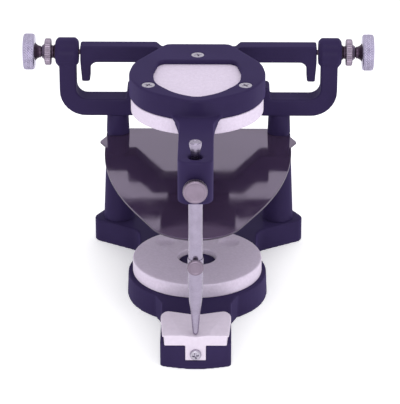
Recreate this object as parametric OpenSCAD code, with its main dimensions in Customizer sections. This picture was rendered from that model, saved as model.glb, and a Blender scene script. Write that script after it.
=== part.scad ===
// Plane-line dental articulator: a cast base and yoke carry a hinged upper frame,
// two plaster mounting plates, an incisal pin on its table and an occlusal plane plate.
// Millimetres. X runs across, +Y to the rear, Z up from the bench.
// X = Y = 0 is the common axis of the two mounting plates.

/* [Frame] */
// Distance between the axes of the two posts
post_spacing = 77.4; // [74:0.2:84]
// Distance from the plates' axis back to the posts and the hinge
hinge_back = 59; // [56:0.5:64]
// Distance from the plates' axis forward to the incisal pin
pin_front = 74; // [70:0.5:82]

/* [Mounting plates] */
// Diameter of each plaster mounting plate
plate_d = 60; // [56:0.5:64]
// Thickness of each plaster mounting plate
plate_t = 6.8; // [5:0.1:9]
// Pitch circle of the three plate screws
screw_circle = 50; // [46:0.5:52]
// Bore in the middle of the lower plate
plate_bore = 17.8; // [14:0.1:24]
// How far the locating spigot stays below the lower plate's top
spigot_drop = 2.4; // [1:0.1:4]
// Depth of the two retention dimples in the lower plate
dimple_depth = 1.2; // [0.4:0.1:1.5]

/* [Base] */
// Thickness of the base casting
base_t = 11.6; // [10:0.1:15]
// Rim of the base around the lower plate
base_rim = 2.1; // [1:0.1:4]
// Draft of the round part, which widens towards the bench, on the radius
base_draft = 0.5; // [0:0.1:2]
// Width of the front block under the incisal table
block_w = 31.4; // [28:0.2:36]
// Block in front of the incisal pin axis
block_nose = 2.6; // [2:0.1:5]
// Width of the rear wing over the two feet
wing_w = 101; // [96:0.5:112]
// Wing behind the posts
wing_back = 12; // [9:0.5:16]

/* [Posts and yoke] */
// Diameter of a post where it meets the yoke
post_top_d = 10.2; // [9:0.1:12]
// Diameter of a post where it stands on the base
post_foot_d = 14.8; // [12:0.1:17]
// Height of the yoke's underside above the bench
yoke_z = 66.8; // [62:0.2:72]
// Height of the hinge axis above the yoke's underside
hinge_rise = 30.7; // [28:0.1:36]
// Height of the yoke's horizontal arm
arm_h = 8.4; // [6:0.1:10]
// Depth of the yoke from front to rear
arm_d = 10.6; // [9:0.1:13]
// Width of the yoke's vertical arm
arm_w = 7.9; // [6.5:0.1:9.5]
// Outside width over the vertical arms
yoke_w = 132.2; // [128:0.2:142]
// Outer corner radius of the yoke
yoke_corner = 12.5; // [8:0.5:15]
// Width of the raised middle of the yoke
riser_w = 68; // [62:0.5:72]
// Height of the step up to the raised middle
riser_h = 5.95; // [3:0.05:8]
// Height of the arch under the raised middle
arch_h = 12.5; // [8:0.5:14]
// Diameter of the bosses that hold the pivot screws
boss_d = 13.8; // [11:0.1:15]
// Length of a boss inside the vertical arm
boss_in = 1.35; // [1:0.05:1.8]
// Length of a boss outside the vertical arm
boss_out = 1.8; // [1:0.1:4]
// Diameter of the tie bolts through the posts
tie_d = 5; // [4:0.5:6]

/* [Pivots] */
// Diameter of a pivot screw's shank
pivot_d = 5; // [4:0.1:6]
// Diameter of the journal at the pivot screw's tip
journal_d = 2.4; // [2:0.1:3]
// Depth of the journal in its bush
journal_depth = 3.5; // [3:0.1:4.5]
// Length of the pivot bush
bush_len = 5; // [4.5:0.1:8]
// Diameter of the knurled lock nut
nut_d = 12.7; // [11:0.1:15]
// Width of the lock nut's knurled rim
nut_t = 3.2; // [2.4:0.1:5]
// Length of the lock nut's tapered hub
nut_hub = 1.3; // [0.8:0.1:3]
// Diameter of the washer behind the lock nut
washer_d = 7.2; // [6.8:0.1:9]
// Thickness of the washer behind the lock nut
washer_t = 1.8; // [1:0.1:3]
// Diameter of the knurled thumb wheel
wheel_d = 17.4; // [14:0.1:22]
// Width of the knurled thumb wheel
wheel_t = 5.6; // [4:0.1:8]
// Length of the pivot screw's flared neck
neck_len = 2.7; // [2:0.1:5]

/* [Upper frame] */
// Height of the crossbar
bar_h = 8; // [7:0.1:10]
// Depth of the crossbar from front to rear
bar_d = 7.6; // [7:0.1:10]
// Reach of the ring behind the upper mounting plate
ring_reach = 9.2; // [7:0.1:12]
// Radius of the fillets between ring and stem
stem_fillet = 10; // [8:0.5:14]
// Thickness of the web on top of the ring, which holds the plate screws
ring_web = 2.2; // [2:0.1:4]
// Radius of the pocket under the web, which the upper mounting plate fills
pocket_r = 28; // [26.5:0.1:28.5]
// Gap between a crossbar end and its boss
bar_gap = 0.75; // [0.6:0.05:2]
// Width of the finger at each crossbar end
finger_w = 3.9; // [3:0.1:6]
// How far the fingers hang below the hinge axis
finger_drop = 13.7; // [9:0.1:16]
// Height of the ring's underside above the hinge axis
ring_rise = 1.5; // [0.5:0.1:3]
// Thickness of the ring
ring_t = 10.3; // [8:0.1:13]
// Outer radius of the ring at its sides
ring_r = 31; // [30:0.5:35]
// Width of the stem and the pin boss
stem_w = 15.2; // [13:0.2:19]
// Height of the stem's top above the ring's underside
stem_top = 2; // [1:0.1:5]
// Height of the pin boss
pin_boss_h = 19.5; // [16:0.5:24]
// Pin boss in front of the pin axis
pin_boss_nose = 6.5; // [5:0.1:9]

/* [Incisal pin and table] */
// Diameter of the incisal pin
pin_d = 6.2; // [4.8:0.1:6.6]
// Height of the peg above the pin boss
peg_h = 7.1; // [5:0.1:12]
// Height of the joint between the pin and its tip
tip_top = 53.5; // [46:0.5:56]
// Height of the tip's point above the bench
tip_z = 16; // [15:0.1:18]
// Diameter of the knob that clamps the pin
clamp_d = 10.6; // [9:0.1:13]
// Thickness of the knob that clamps the pin
clamp_t = 3; // [2.4:0.1:4]
// Diameter of the knob on the tip's set screw
tip_knob_d = 7.3; // [5:0.1:8]
// Width of the incisal table's top at its rear
table_w = 31.8; // [28:0.2:36]
// How much narrower the table is at its front
table_taper = 2.6; // [0:0.2:6]
// Length of the incisal table
table_len = 18.5; // [15:0.5:22]
// Slope of the table's top, in degrees
table_slope = 8.8; // [5:0.2:12]

/* [Occlusal plate] */
// Height of the occlusal plane above the bench
plane_z = 56; // [50:0.5:60]
// Thickness of the occlusal plate
plane_t = 1; // [0.8:0.1:1.1]
// Width of the plate across its straight sides
plane_w = 88.4; // [84:0.2:92]
// Reach of the plate in front of the mounting plates' axis
plane_nose = 61.5; // [56:0.5:64]

/* [Fits] */
// Radial running clearance of screws, journals and the pin
fit = 0.05; // [0.02:0.01:0.1]
// Gap between faces that turn or slide on each other
face_gap = 0.05; // [0.02:0.01:0.1]
// Clearance around pieces that only pass by
free_gap = 0.2; // [0.1:0.05:0.4]

/* [Hidden] */
$fn = 64;

PAINT = [0.20, 0.18, 0.31];
WHITE = [0.86, 0.83, 0.87];
STEEL = [0.68, 0.66, 0.72];
DARK_STEEL = [0.30, 0.28, 0.34];
SMOKE = [0.28, 0.20, 0.33];
BRASS = [0.75, 0.62, 0.35];

// Heights that follow from the driving sizes
hinge_h = yoke_z + hinge_rise;
plate_r = plate_d / 2;
lower_top = base_t + plate_t;
ring_z = hinge_h + ring_rise;
ring_top = ring_z + ring_t;
upper_bottom = ring_z - plate_t;
stem_z = ring_z + stem_top;
pin_boss_z = stem_z - pin_boss_h;
post_x = post_spacing / 2;

// Stations along the hinge axis, from the middle outwards
arm_out = yoke_w / 2;
arm_in = arm_out - arm_w;
boss_inner = arm_in - boss_in;
boss_outer = arm_out + boss_out;
bar_end = boss_inner - bar_gap;
washer_x = boss_outer + face_gap;
nut_x = washer_x + washer_t + face_gap;
nut_play = 0.4;
neck_x = nut_x + nut_t + nut_hub + nut_play + 2 * face_gap;
wheel_x = neck_x + neck_len + face_gap;
wheel_seat_d = 4;
wheel_seat_len = 4.6;
neck_d = 8.6;
nut_hub_d = 7.8;
shoulder_in = 0.5;

// Plate screws: countersunk, three of them, equally spaced
screw_d = 3;
screw_head_d = 6;
screw_head_h = 1.7;
screw_bite = 4.4;
screw_sink = 0.1;
head_gap = 0.15;
dimple_d = 9.5;
dimple_at = [14.7, 15.4];

// Nose of the occlusal plate: its radius, and the angle at which its sides leave it
nose_r = 22;
nose_slope = 64;

// Post grooves that hold the occlusal plate
groove_h = plane_t + 2 * 0.1;
groove_d = 10;
notch_r = groove_d / 2 + 0.1;

// Tie bolts
tie_head_d = tie_d + 3.5;
tie_head_h = tie_d;
tie_bite = arm_h - 1.7;
tie_recess = 0.4;

// Rib under the web that joins ring and crossbar, clear of the yoke as the frame swings
rib_w = 30;
rib_d = 7;
rib_gap = 1.3;

// Incisal pin, its tip and the clamps
peg_top_d = pin_d - 0.8;
peg_neck_d = 3.4;
rod_sink = 1.8;
cap_bite = 8;
spigot_d = 3.8;
spigot_len = 10;
tip_d = 6.9;
clamp_shank_d = 4;
clamp_z = pin_boss_z + 8;
clamp_stand = 2.3;
set_d = 2.4;
set_drop = 1.2;
set_stand = 0.6;
tip_knob_t = 1.8;

// Incisal table
table_lip = 0.9;
table_z = base_t + 4.2;
lip_h = 0.7;
tab_w = 9.1;
tab_t = 1.4;
tab_drop = 7.3;
table_nose = 2;
trough_slope = 5;
table_screw_d = 2.6;
table_screw_head = 5.2;
table_screw_z = base_t - 4.3;
table_screw_len = 8;

// Direction from a to b
function towards(a, b) = (b - a) / norm(b - a);

// Arc that rounds corner b between a and c, with radius r
function corner_arc(a, b, c, r, steps) =
    let (
        u = towards(b, a),
        w = towards(b, c),
        half = acos(u * w) / 2,
        back = r / tan(half),
        centre = b + towards([0, 0], u + w) * r / sin(half),
        first = b + u * back - centre,
        last = b + w * back - centre,
        start = atan2(first.y, first.x),
        sweep = atan2(cross(first, last), first * last)
    )
    [for (i = [0:steps]) centre + r * [cos(start + sweep * i / steps), sin(start + sweep * i / steps)]];

// Closed outline through corners given as [x, y, radius]
function rounded(corners, steps = 8) =
    let (n = len(corners))
    [for (i = [0:n - 1])
        let (
            before = corners[(i + n - 1) % n],
            here = corners[i],
            after = corners[(i + 1) % n],
            p = [here.x, here.y]
        )
        each here[2] > 0
            ? corner_arc([before.x, before.y], p, [after.x, after.y], here[2], steps)
            : [p]];

// Right half of an outline made whole across x = 0, the half listed from front to rear
function both_sides(half) =
    concat(half, [for (i = [len(half) - 1:-1:0]) if (half[i].x > 0) [-half[i].x, half[i].y, half[i][2]]]);

// Rim of a knurled wheel as a fine-toothed outline
function knurl(d, teeth, depth) =
    [for (i = [0:2 * teeth - 1])
        let (a = 180 * (i + 0.5) / teeth, r = d / 2 - depth * (i % 2))
        r * [cos(a), sin(a)]];

// Solid of revolution about the X axis from x0 outwards, profile as [radius, distance]
module turned_x(x0, profile) {
    translate([x0, hinge_back, hinge_h]) rotate([0, 90, 0]) rotate_extrude() polygon(profile);
}

module mirrored(left) {
    mirror([left ? 1 : 0, 0, 0]) children();
}

// Centres of the three plate screws
module at_plate_screws() {
    for (a = [90, 210, 330]) rotate([0, 0, a]) translate([screw_circle / 2, 0, 0]) children();
}

// Countersunk screw hole or screw, its head at the top at z = 0
module countersunk(grow, len) {
    r = screw_d / 2 + grow;
    head_r = screw_head_d / 2 + grow;
    translate([0, 0, -len]) cylinder(r = r, h = len);
    translate([0, 0, -screw_head_h]) cylinder(r1 = r, r2 = head_r, h = screw_head_h);
}

// Cross recess in the top of a screw head
module cross_recess(across, depth) {
    for (a = [0, 90]) rotate([0, 0, a]) {
        translate([-across / 2, -across / 8, -depth]) cube([across, across / 4, depth + 1]);
    }
}

module base_outline_block() {
    polygon(rounded(both_sides([
        [0, -pin_front - block_nose - 1.3, 38],
        [block_w / 2, -pin_front - block_nose + 3, 2],
        [block_w / 2, -plate_r - 4, 8],
        [block_w / 2 + 4.5, -plate_r + 7, 0]])));
}

module base_outline_wing() {
    rear = hinge_back + wing_back;
    polygon(rounded(both_sides([
        [plate_r - 3, 10, 0],
        [plate_r - 1.5, hinge_back - 16.4, 9],
        [wing_w / 2, hinge_back - 3.2, 4.2],
        [wing_w / 2, hinge_back + 1, 4],
        [wing_w / 2 - 6.5, rear, 5]])));
}

module base_casting() {
    disc_r = plate_r + base_rim;
    spigot_r = plate_bore / 2 - 0.1;
    color(PAINT) difference() {
        union() {
            cylinder(r1 = disc_r + base_draft, r2 = disc_r, h = base_t, $fn = 96);
            linear_extrude(base_t) base_outline_block();
            linear_extrude(base_t) base_outline_wing();
            cylinder(r = spigot_r, h = lower_top - spigot_drop);
        }
        for (s = [-1, 1]) translate([s * post_x, hinge_back, 0]) {
            translate([0, 0, -1]) cylinder(d = tie_d + free_gap, h = base_t + 2);
            translate([0, 0, -1]) cylinder(d = tie_head_d + 2 * free_gap, h = tie_head_h + tie_recess + 1);
        }
        mirror([0, 0, 1]) at_plate_screws() {
            translate([0, 0, -screw_sink]) countersunk(head_gap, base_t + 1);
            translate([0, 0, -screw_sink]) cylinder(r = screw_head_d / 2 + head_gap, h = 1);
        }
        translate([-tab_w / 2 - fit, -pin_front - table_nose - 2, base_t - tab_drop - fit])
            cube([tab_w + 2 * fit, tab_t + 2, tab_drop + 1]);
        translate([0, -pin_front - table_nose, table_screw_z]) rotate([-90, 0, 0])
            cylinder(d = table_screw_d + 2 * fit, h = table_screw_len);
    }
}

// One post on the right: a slim cone with a groove round it for the occlusal plate
module post() {
    post_h = yoke_z - base_t;
    slope = (post_top_d - post_foot_d) / 2 / post_h;
    low = plane_z - groove_h / 2 - base_t;
    high = low + groove_h;
    translate([post_x, hinge_back, base_t]) rotate_extrude() polygon([
        [tie_d / 2 + free_gap / 2, 0],
        [post_foot_d / 2, 0],
        [post_foot_d / 2 + slope * low, low],
        [groove_d / 2, low],
        [groove_d / 2, high],
        [post_foot_d / 2 + slope * high, high],
        [post_top_d / 2, post_h],
        [tie_d / 2 + free_gap / 2, post_h]]);
}

module left_post() {
    color(PAINT) mirrored(true) post();
}

module right_post() {
    color(PAINT) mirrored(false) post();
}

module post_tie_bolts() {
    color(STEEL) for (s = [-1, 1]) translate([s * post_x, hinge_back, tie_recess]) {
        difference() {
            cylinder(d = tie_head_d, h = tie_head_h);
            translate([0, 0, -1]) cylinder(d = tie_d * 0.92, h = tie_d * 0.6 + 1, $fn = 6);
        }
        cylinder(d = tie_d, h = yoke_z + tie_bite - tie_recess);
    }
}

module yoke_outline() {
    arm_top = yoke_z + arm_h;
    riser_top = arm_top + riser_h;
    arch_top = yoke_z + arch_h;
    polygon(rounded(both_sides([
        [riser_w / 2 - 17, arch_top, 4],
        [riser_w / 2 - 4, yoke_z, 3],
        [arm_out, yoke_z, yoke_corner],
        [arm_out, hinge_h, 0],
        [arm_in, hinge_h, 0],
        [arm_in, arm_top, yoke_corner - arm_w + 0.7],
        [riser_w / 2, arm_top, 1],
        [riser_w / 2, riser_top, 1.5],
        [riser_w / 2 - 6, riser_top, 3],
        [riser_w / 2 - 12, riser_top + riser_h, 3]])));
}

module yoke() {
    boss_len = boss_outer - boss_inner;
    color(PAINT) difference() {
        union() {
            translate([0, hinge_back + arm_d / 2, 0]) rotate([90, 0, 0])
                linear_extrude(arm_d) yoke_outline();
            for (left = [false, true]) mirrored(left) turned_x(boss_inner, [
                [0, 0],
                [boss_d / 2 - 1.5, 0],
                [boss_d / 2, 1.5],
                [boss_d / 2, boss_len - 1.4],
                [boss_d / 2 - 1.6, boss_len],
                [0, boss_len]]);
        }
        for (left = [false, true]) mirrored(left) turned_x(boss_inner - 1, [
            [0, 0],
            [pivot_d / 2 + fit, 0],
            [pivot_d / 2 + fit, boss_len + 2],
            [0, boss_len + 2]]);
        for (s = [-1, 1]) translate([s * post_x, hinge_back, yoke_z - 1])
            cylinder(d = tie_d + 2 * fit, h = tie_bite + 1 + free_gap);
    }
}

module lower_mounting_plate() {
    color(WHITE) difference() {
        translate([0, 0, base_t]) cylinder(r = plate_r, h = plate_t, $fn = 128);
        translate([0, 0, base_t - 1]) cylinder(d = plate_bore, h = plate_t + 2);
        for (s = [-1, 1]) translate([s * dimple_at.x, dimple_at.y, lower_top - dimple_depth])
            cylinder(d = dimple_d, h = 1 + dimple_depth);
        translate([0, 0, base_t - 1]) at_plate_screws()
            cylinder(d = screw_d + 2 * fit, h = screw_bite + 1 + free_gap);
    }
}

module lower_plate_screws() {
    len = base_t + screw_bite - screw_sink;
    color(STEEL) mirror([0, 0, 1]) at_plate_screws() translate([0, 0, -screw_sink]) difference() {
        countersunk(0, len);
        cross_recess(screw_head_d * 0.55, 1);
    }
}

// Top view of the incisal table, its rear corners rounded
module table_plan(lip) {
    front = -pin_front - table_nose;
    half = table_w / 2 - lip;
    narrow = half - table_taper / 2;
    polygon(rounded([
        [-narrow, front, 0.6],
        [narrow, front, 0.6],
        [half, front + table_len - lip, 4.5],
        [-half, front + table_len - lip, 4.5]]));
}

module incisal_table() {
    front = -pin_front - table_nose;
    above = 20;
    point_gap = 0.1;
    color(WHITE) difference() {
        union() {
            translate([0, 0, base_t]) linear_extrude(table_z - base_t) table_plan(table_lip);
            translate([0, 0, table_z]) linear_extrude(above) table_plan(0);
            translate([-tab_w / 2, front, base_t - tab_drop]) cube([tab_w, tab_t - fit, tab_drop + 1]);
            translate([-tab_w / 2, front, base_t]) cube([tab_w, 4, table_z - base_t]);
        }
        translate([-table_w, front, table_z + lip_h]) rotate([table_slope, 0, 0])
            translate([0, -table_len, 0]) cube([2 * table_w, 3 * table_len, 2 * above]);
        translate([0, -pin_front, tip_z - point_gap]) rotate([90 + trough_slope, 0, 0])
            linear_extrude(4 * table_len, center = true)
                polygon([[0, 0], [table_w, table_w / 6.6], [-table_w, table_w / 6.6]]);
        translate([0, front - 1, table_screw_z]) rotate([-90, 0, 0])
            cylinder(d = table_screw_d + free_gap, h = tab_t + 2);
    }
}

module incisal_table_screw() {
    head_back = -pin_front - table_nose - face_gap;
    head_h = 1.5;
    color(STEEL) translate([0, head_back, table_screw_z]) rotate([90, 0, 0]) difference() {
        union() {
            cylinder(d1 = table_screw_head, d2 = table_screw_head - 1, h = head_h);
            translate([0, 0, 1 - table_screw_len]) cylinder(d = table_screw_d, h = table_screw_len);
        }
        translate([0, 0, head_h]) cross_recess(table_screw_head * 0.6, 0.9);
    }
}

module occlusal_plate() {
    side = plane_w / 2;
    tip = -plane_nose + nose_r * (1 - 1 / cos(nose_slope));
    bend = tip + side * tan(nose_slope);
    ear = hinge_back - 17.5;
    bend_r = (ear - 2 - bend) / tan(45 - nose_slope / 2);
    back = hinge_back - notch_r;
    tongue = post_x - notch_r;
    color(SMOKE) translate([0, 0, plane_z - plane_t / 2]) linear_extrude(plane_t) difference() {
        polygon(rounded(both_sides([
            [0, tip, nose_r],
            [side, bend, bend_r],
            [side, ear, 1.5],
            [side + 2.8, ear + 5.3, 2.2],
            [side - 0.4, back, 1.5],
            [post_x, back, 0],
            [post_x, hinge_back, 0],
            [tongue, hinge_back, 0],
            [tongue, hinge_back + 4.2, 1]]), 20));
        for (s = [-1, 1]) translate([s * post_x, hinge_back]) circle(r = notch_r);
    }
}

module ring_outline() {
    rear = plate_r + ring_reach;
    polygon(rounded(both_sides([
        [0, -ring_r - 2.6, 14],
        [ring_r * 0.76, -ring_r * 0.66, 28],
        [ring_r + 0.6, -2, 28],
        [ring_r - 1.6, 14.6, 24],
        [14.8, rear, 3.5]])));
}

module ring_window() {
    polygon(rounded(both_sides([
        [0, -26.6, 6],
        [9.5, -22.2, 24],
        [19.1, -9.5, 18],
        [20, 3.5, 28],
        [17.4, 17.9, 4.5]])));
}

// Crossbar seen from the front, with a finger hanging at each end
module crossbar_outline() {
    top = hinge_h + bar_h / 2;
    bottom = hinge_h - bar_h / 2;
    inner = bar_end - finger_w - 0.9;
    tip = hinge_h - finger_drop;
    polygon(rounded(both_sides([
        [inner, bottom, 3.4],
        [inner + 0.2, tip, 1],
        [inner + 0.2 + finger_w, tip, 0.4],
        [bar_end, bottom, 0],
        [bar_end, top, 0.8],
        [20, top, 0.8],
        [17.7, top - 2.1, 0]])));
}

module stem_side() {
    near = -plate_r - 1.3;
    front = -pin_front - pin_boss_nose;
    polygon([
        [-plate_r + 6, ring_z],
        [near, ring_z],
        [near, upper_bottom],
        [-pin_front + 10, pin_boss_z],
        [front, pin_boss_z],
        [front, stem_z],
        [-plate_r + 6, stem_z]]);
}

module stem_plan() {
    half = stem_w / 2;
    front = -pin_front - pin_boss_nose;
    polygon(rounded([
        [-half, front, 5],
        [half, front, 5],
        [half, -plate_r - stem_fillet / 2, stem_fillet],
        [half + stem_fillet * 0.56, -plate_r + stem_fillet / 2, 0],
        [-half - stem_fillet * 0.56, -plate_r + stem_fillet / 2, 0],
        [-half, -plate_r - stem_fillet / 2, stem_fillet]], 12));
}

// Stem seen from the front, widening under the ring
module stem_front() {
    half = stem_w / 2;
    polygon(rounded(both_sides([
        [half, pin_boss_z - 1, 0],
        [half, ring_z - 4, 9],
        [half + 5, ring_z + 4, 0]])));
}

module upper_frame() {
    bush_r = pivot_d / 2;
    web_top = hinge_h + bar_h / 2 - 2.1;
    web_front = plate_r + 1;
    bar_back = hinge_back + bar_d / 2;
    ring_rear = plate_r + ring_reach;
    rib_z = yoke_z + arm_h + 2 * riser_h + rib_gap;
    color(PAINT) difference() {
        union() {
            translate([-rib_w / 2, hinge_back - rib_d / 2, rib_z])
                cube([rib_w, rib_d, hinge_h - rib_z]);
            translate([0, 0, ring_z]) linear_extrude(ring_t) ring_outline();
            translate([0, bar_back, 0]) rotate([90, 0, 0]) linear_extrude(bar_d) crossbar_outline();
            translate([-18, web_front, hinge_h - bar_h / 2])
                cube([36, bar_back - web_front, web_top - hinge_h + bar_h / 2]);
            translate([-14, 0, 0]) rotate([90, 0, 90]) linear_extrude(28) polygon([
                [ring_rear - 1, ring_z],
                [ring_rear - 1, ring_z + 6.5],
                [ring_rear, ring_z + 6.5],
                [hinge_back, web_top],
                [hinge_back, ring_z - 2]]);
            intersection() {
                translate([-stem_w, 0, 0]) rotate([90, 0, 90]) linear_extrude(2 * stem_w) stem_side();
                translate([0, 0, pin_boss_z]) linear_extrude(pin_boss_h) stem_plan();
                translate([0, -plate_r + 7, 0]) rotate([90, 0, 0])
                    linear_extrude(pin_front + pin_boss_nose) stem_front();
            }
        }
        translate([0, 0, ring_z - 1]) linear_extrude(ring_t + 2) ring_window();
        translate([0, 0, upper_bottom - 10]) cylinder(r = plate_r + 0.8, h = plate_t + 10);
        translate([0, 0, ring_z - 1]) cylinder(r = pocket_r, h = ring_t - ring_web + 1, $fn = 96);
        translate([0, 0, ring_top - screw_sink]) at_plate_screws() {
            countersunk(head_gap, ring_t + 1);
            cylinder(r = screw_head_d / 2 + head_gap, h = 1);
        }
        translate([0, -pin_front, pin_boss_z - 1]) cylinder(d = pin_d + 2 * fit, h = pin_boss_h + 2);
        translate([0, -pin_front, clamp_z]) rotate([90, 0, 0])
            cylinder(d = clamp_shank_d + 2 * fit, h = pin_boss_nose + 1);
        for (left = [false, true]) mirrored(left) turned_x(bar_end - bush_len, [
            [0, 0],
            [bush_r, 0],
            [bush_r, bush_len + 1],
            [0, bush_len + 1]]);
    }
}

// One pivot bush on the right, pressed into the crossbar's end
module pivot_bush() {
    r = journal_d / 2 + fit;
    turned_x(bar_end - bush_len, [
        [0, 0],
        [pivot_d / 2, 0],
        [pivot_d / 2, bush_len],
        [r, bush_len],
        [r, bush_len - journal_depth - 0.5],
        [0, bush_len - journal_depth - 0.5]]);
}

module left_pivot_bush() {
    color(BRASS) mirrored(true) pivot_bush();
}

module right_pivot_bush() {
    color(BRASS) mirrored(false) pivot_bush();
}

// Flange that carries the cast, and a step that fills the pocket of the ring
module upper_mounting_plate() {
    step_h = ring_t - ring_web;
    color(WHITE) difference() {
        union() {
            translate([0, 0, upper_bottom]) cylinder(r = plate_r, h = plate_t, $fn = 128);
            translate([0, 0, ring_z]) cylinder(r = pocket_r - fit, h = step_h, $fn = 96);
        }
        translate([0, 0, ring_z + step_h - cap_bite - free_gap]) at_plate_screws()
            cylinder(d = screw_d + 2 * fit, h = cap_bite + 1);
    }
}

module upper_plate_screws() {
    color(STEEL) translate([0, 0, ring_top - screw_sink]) at_plate_screws() difference() {
        countersunk(0, ring_web + cap_bite - screw_sink);
        cross_recess(screw_head_d * 0.55, 1);
    }
}

// One pivot screw on the right: journal, shank, flared neck and the seat of its wheel
module pivot_screw() {
    tip_x = bar_end - journal_depth;
    shank_x = boss_inner + shoulder_in - tip_x;
    neck = neck_x - tip_x;
    seat = neck + neck_len;
    turned_x(tip_x, [
        [0, 0],
        [journal_d / 2 - 0.4, 0],
        [journal_d / 2, 0.4],
        [journal_d / 2, shank_x],
        [pivot_d / 2, shank_x],
        [pivot_d / 2, neck],
        [pivot_d / 2 + 0.35, neck],
        [pivot_d / 2 + 0.35, neck + neck_len * 0.3],
        [pivot_d / 2 + 0.85, neck + neck_len * 0.65],
        [neck_d / 2, seat],
        [wheel_seat_d / 2, seat],
        [wheel_seat_d / 2, seat + wheel_seat_len],
        [0, seat + wheel_seat_len]]);
}

module left_pivot_screw() {
    color(DARK_STEEL) mirrored(true) pivot_screw();
}

module right_pivot_screw() {
    color(DARK_STEEL) mirrored(false) pivot_screw();
}

// A knurled disc on the hinge axis, with a plain bore of the given depth from its inner face
module knurled_x(x0, d, width, teeth, bore_d, bore_len) {
    translate([x0, hinge_back, hinge_h]) rotate([0, 90, 0]) difference() {
        linear_extrude(width) polygon(knurl(d, teeth, 0.4));
        translate([0, 0, -1]) cylinder(d = bore_d, h = bore_len + 1);
    }
}

module thumb_wheel() {
    knurled_x(wheel_x, wheel_d, wheel_t, 44, wheel_seat_d + 2 * fit, wheel_seat_len + 2 * face_gap);
}

module left_thumb_wheel() {
    color(STEEL) mirrored(true) thumb_wheel();
}

module right_thumb_wheel() {
    color(STEEL) mirrored(false) thumb_wheel();
}

module lock_washer() {
    turned_x(washer_x, [
        [pivot_d / 2 + fit, 0],
        [washer_d / 2, 0],
        [washer_d / 2, washer_t],
        [pivot_d / 2 + fit, washer_t]]);
}

module left_lock_washer() {
    color(STEEL) mirrored(true) lock_washer();
}

module right_lock_washer() {
    color(STEEL) mirrored(false) lock_washer();
}

module lock_nut() {
    knurled_x(nut_x, nut_d, nut_t, 36, pivot_d + 2 * fit, nut_t + 1);
    turned_x(nut_x + nut_t, [
        [pivot_d / 2 + fit, 0],
        [nut_hub_d / 2, 0],
        [pivot_d / 2 + 0.5, nut_hub],
        [pivot_d / 2 + fit, nut_hub]]);
}

module left_lock_nut() {
    color(STEEL) mirrored(true) lock_nut();
}

module right_lock_nut() {
    color(STEEL) mirrored(false) lock_nut();
}

module incisal_pin() {
    color(STEEL) translate([0, -pin_front, 0]) rotate_extrude() polygon([
        [0, tip_top - spigot_len],
        [spigot_d / 2, tip_top - spigot_len],
        [spigot_d / 2, tip_top],
        [pin_d / 2, tip_top],
        [pin_d / 2, stem_z - rod_sink],
        [peg_neck_d / 2, stem_z - rod_sink],
        [peg_neck_d / 2, stem_z],
        [peg_top_d / 2, stem_z + peg_h - 0.6],
        [peg_top_d / 2 - 0.5, stem_z + peg_h],
        [0, stem_z + peg_h]]);
}

module pin_tip() {
    tip_len = tip_top - tip_z;
    socket_r = spigot_d / 2 + fit;
    color(STEEL) difference() {
        translate([0, -pin_front, tip_z]) rotate_extrude() polygon([
            [0, 0],
            [1.3, 1.3],
            [1.75, tip_len * 0.19],
            [2.05, tip_len * 0.29],
            [3, tip_len * 0.47],
            [3.3, tip_len * 0.64],
            [tip_d / 2, tip_len],
            [socket_r, tip_len],
            [socket_r, tip_len - spigot_len - 0.3],
            [0, tip_len - spigot_len - 0.3]]);
        translate([0, -pin_front, tip_top - set_drop - set_d / 2]) rotate([90, 0, 0])
            cylinder(d = set_d + 2 * fit, h = tip_d);
    }
}

// Screw shank that points at the pin, from the pin's surface out to the given length
module clamp_shank(z, d, pin_r, len) {
    translate([0, -pin_front - pin_r - face_gap, z]) rotate([90, 0, 0]) cylinder(d = d, h = len);
}

module pin_clamp_screw() {
    reach = pin_boss_nose - pin_d / 2 - face_gap + clamp_stand + clamp_t * 0.7;
    color(DARK_STEEL) clamp_shank(clamp_z, clamp_shank_d, pin_d / 2, reach);
}

module pin_clamp_knob() {
    color(STEEL) translate([0, -pin_front - pin_boss_nose - clamp_stand, clamp_z]) rotate([90, 0, 0])
        difference() {
            linear_extrude(clamp_t) polygon(knurl(clamp_d, 40, 0.3));
            translate([0, 0, -1]) cylinder(d = clamp_shank_d + 2 * fit, h = 1 + clamp_t * 0.7 + face_gap);
        }
}

module tip_set_screw() {
    reach = tip_d / 2 - spigot_d / 2 - face_gap + set_stand + tip_knob_t * 0.6;
    color(DARK_STEEL) clamp_shank(tip_top - set_drop - set_d / 2, set_d, spigot_d / 2, reach);
}

module tip_set_knob() {
    color(STEEL) translate([0, -pin_front - tip_d / 2 - set_stand, tip_top - set_drop - set_d / 2])
        rotate([90, 0, 0]) difference() {
            linear_extrude(tip_knob_t) polygon(knurl(tip_knob_d, 28, 0.25));
            translate([0, 0, -1]) cylinder(d = set_d + 2 * fit, h = 1 + tip_knob_t * 0.6 + face_gap);
        }
}

base_casting();
left_post();
right_post();
post_tie_bolts();
yoke();
lower_mounting_plate();
lower_plate_screws();
incisal_table();
incisal_table_screw();
occlusal_plate();
upper_frame();
left_pivot_bush();
right_pivot_bush();
upper_mounting_plate();
upper_plate_screws();
left_pivot_screw();
right_pivot_screw();
left_thumb_wheel();
right_thumb_wheel();
left_lock_washer();
right_lock_washer();
left_lock_nut();
right_lock_nut();
incisal_pin();
pin_tip();
pin_clamp_screw();
pin_clamp_knob();
tip_set_screw();
tip_set_knob();
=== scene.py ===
# %% [markdown]
# # A plane-line dental articulator
# A dental articulator is a small bench stand that carries two plaster casts of a jaw. A cast
# base with two posts and a yoke holds a hinged upper frame. This lesson dresses the packed
# model piece by piece. The frame is loaded first, because every piece takes its place from it.

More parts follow.
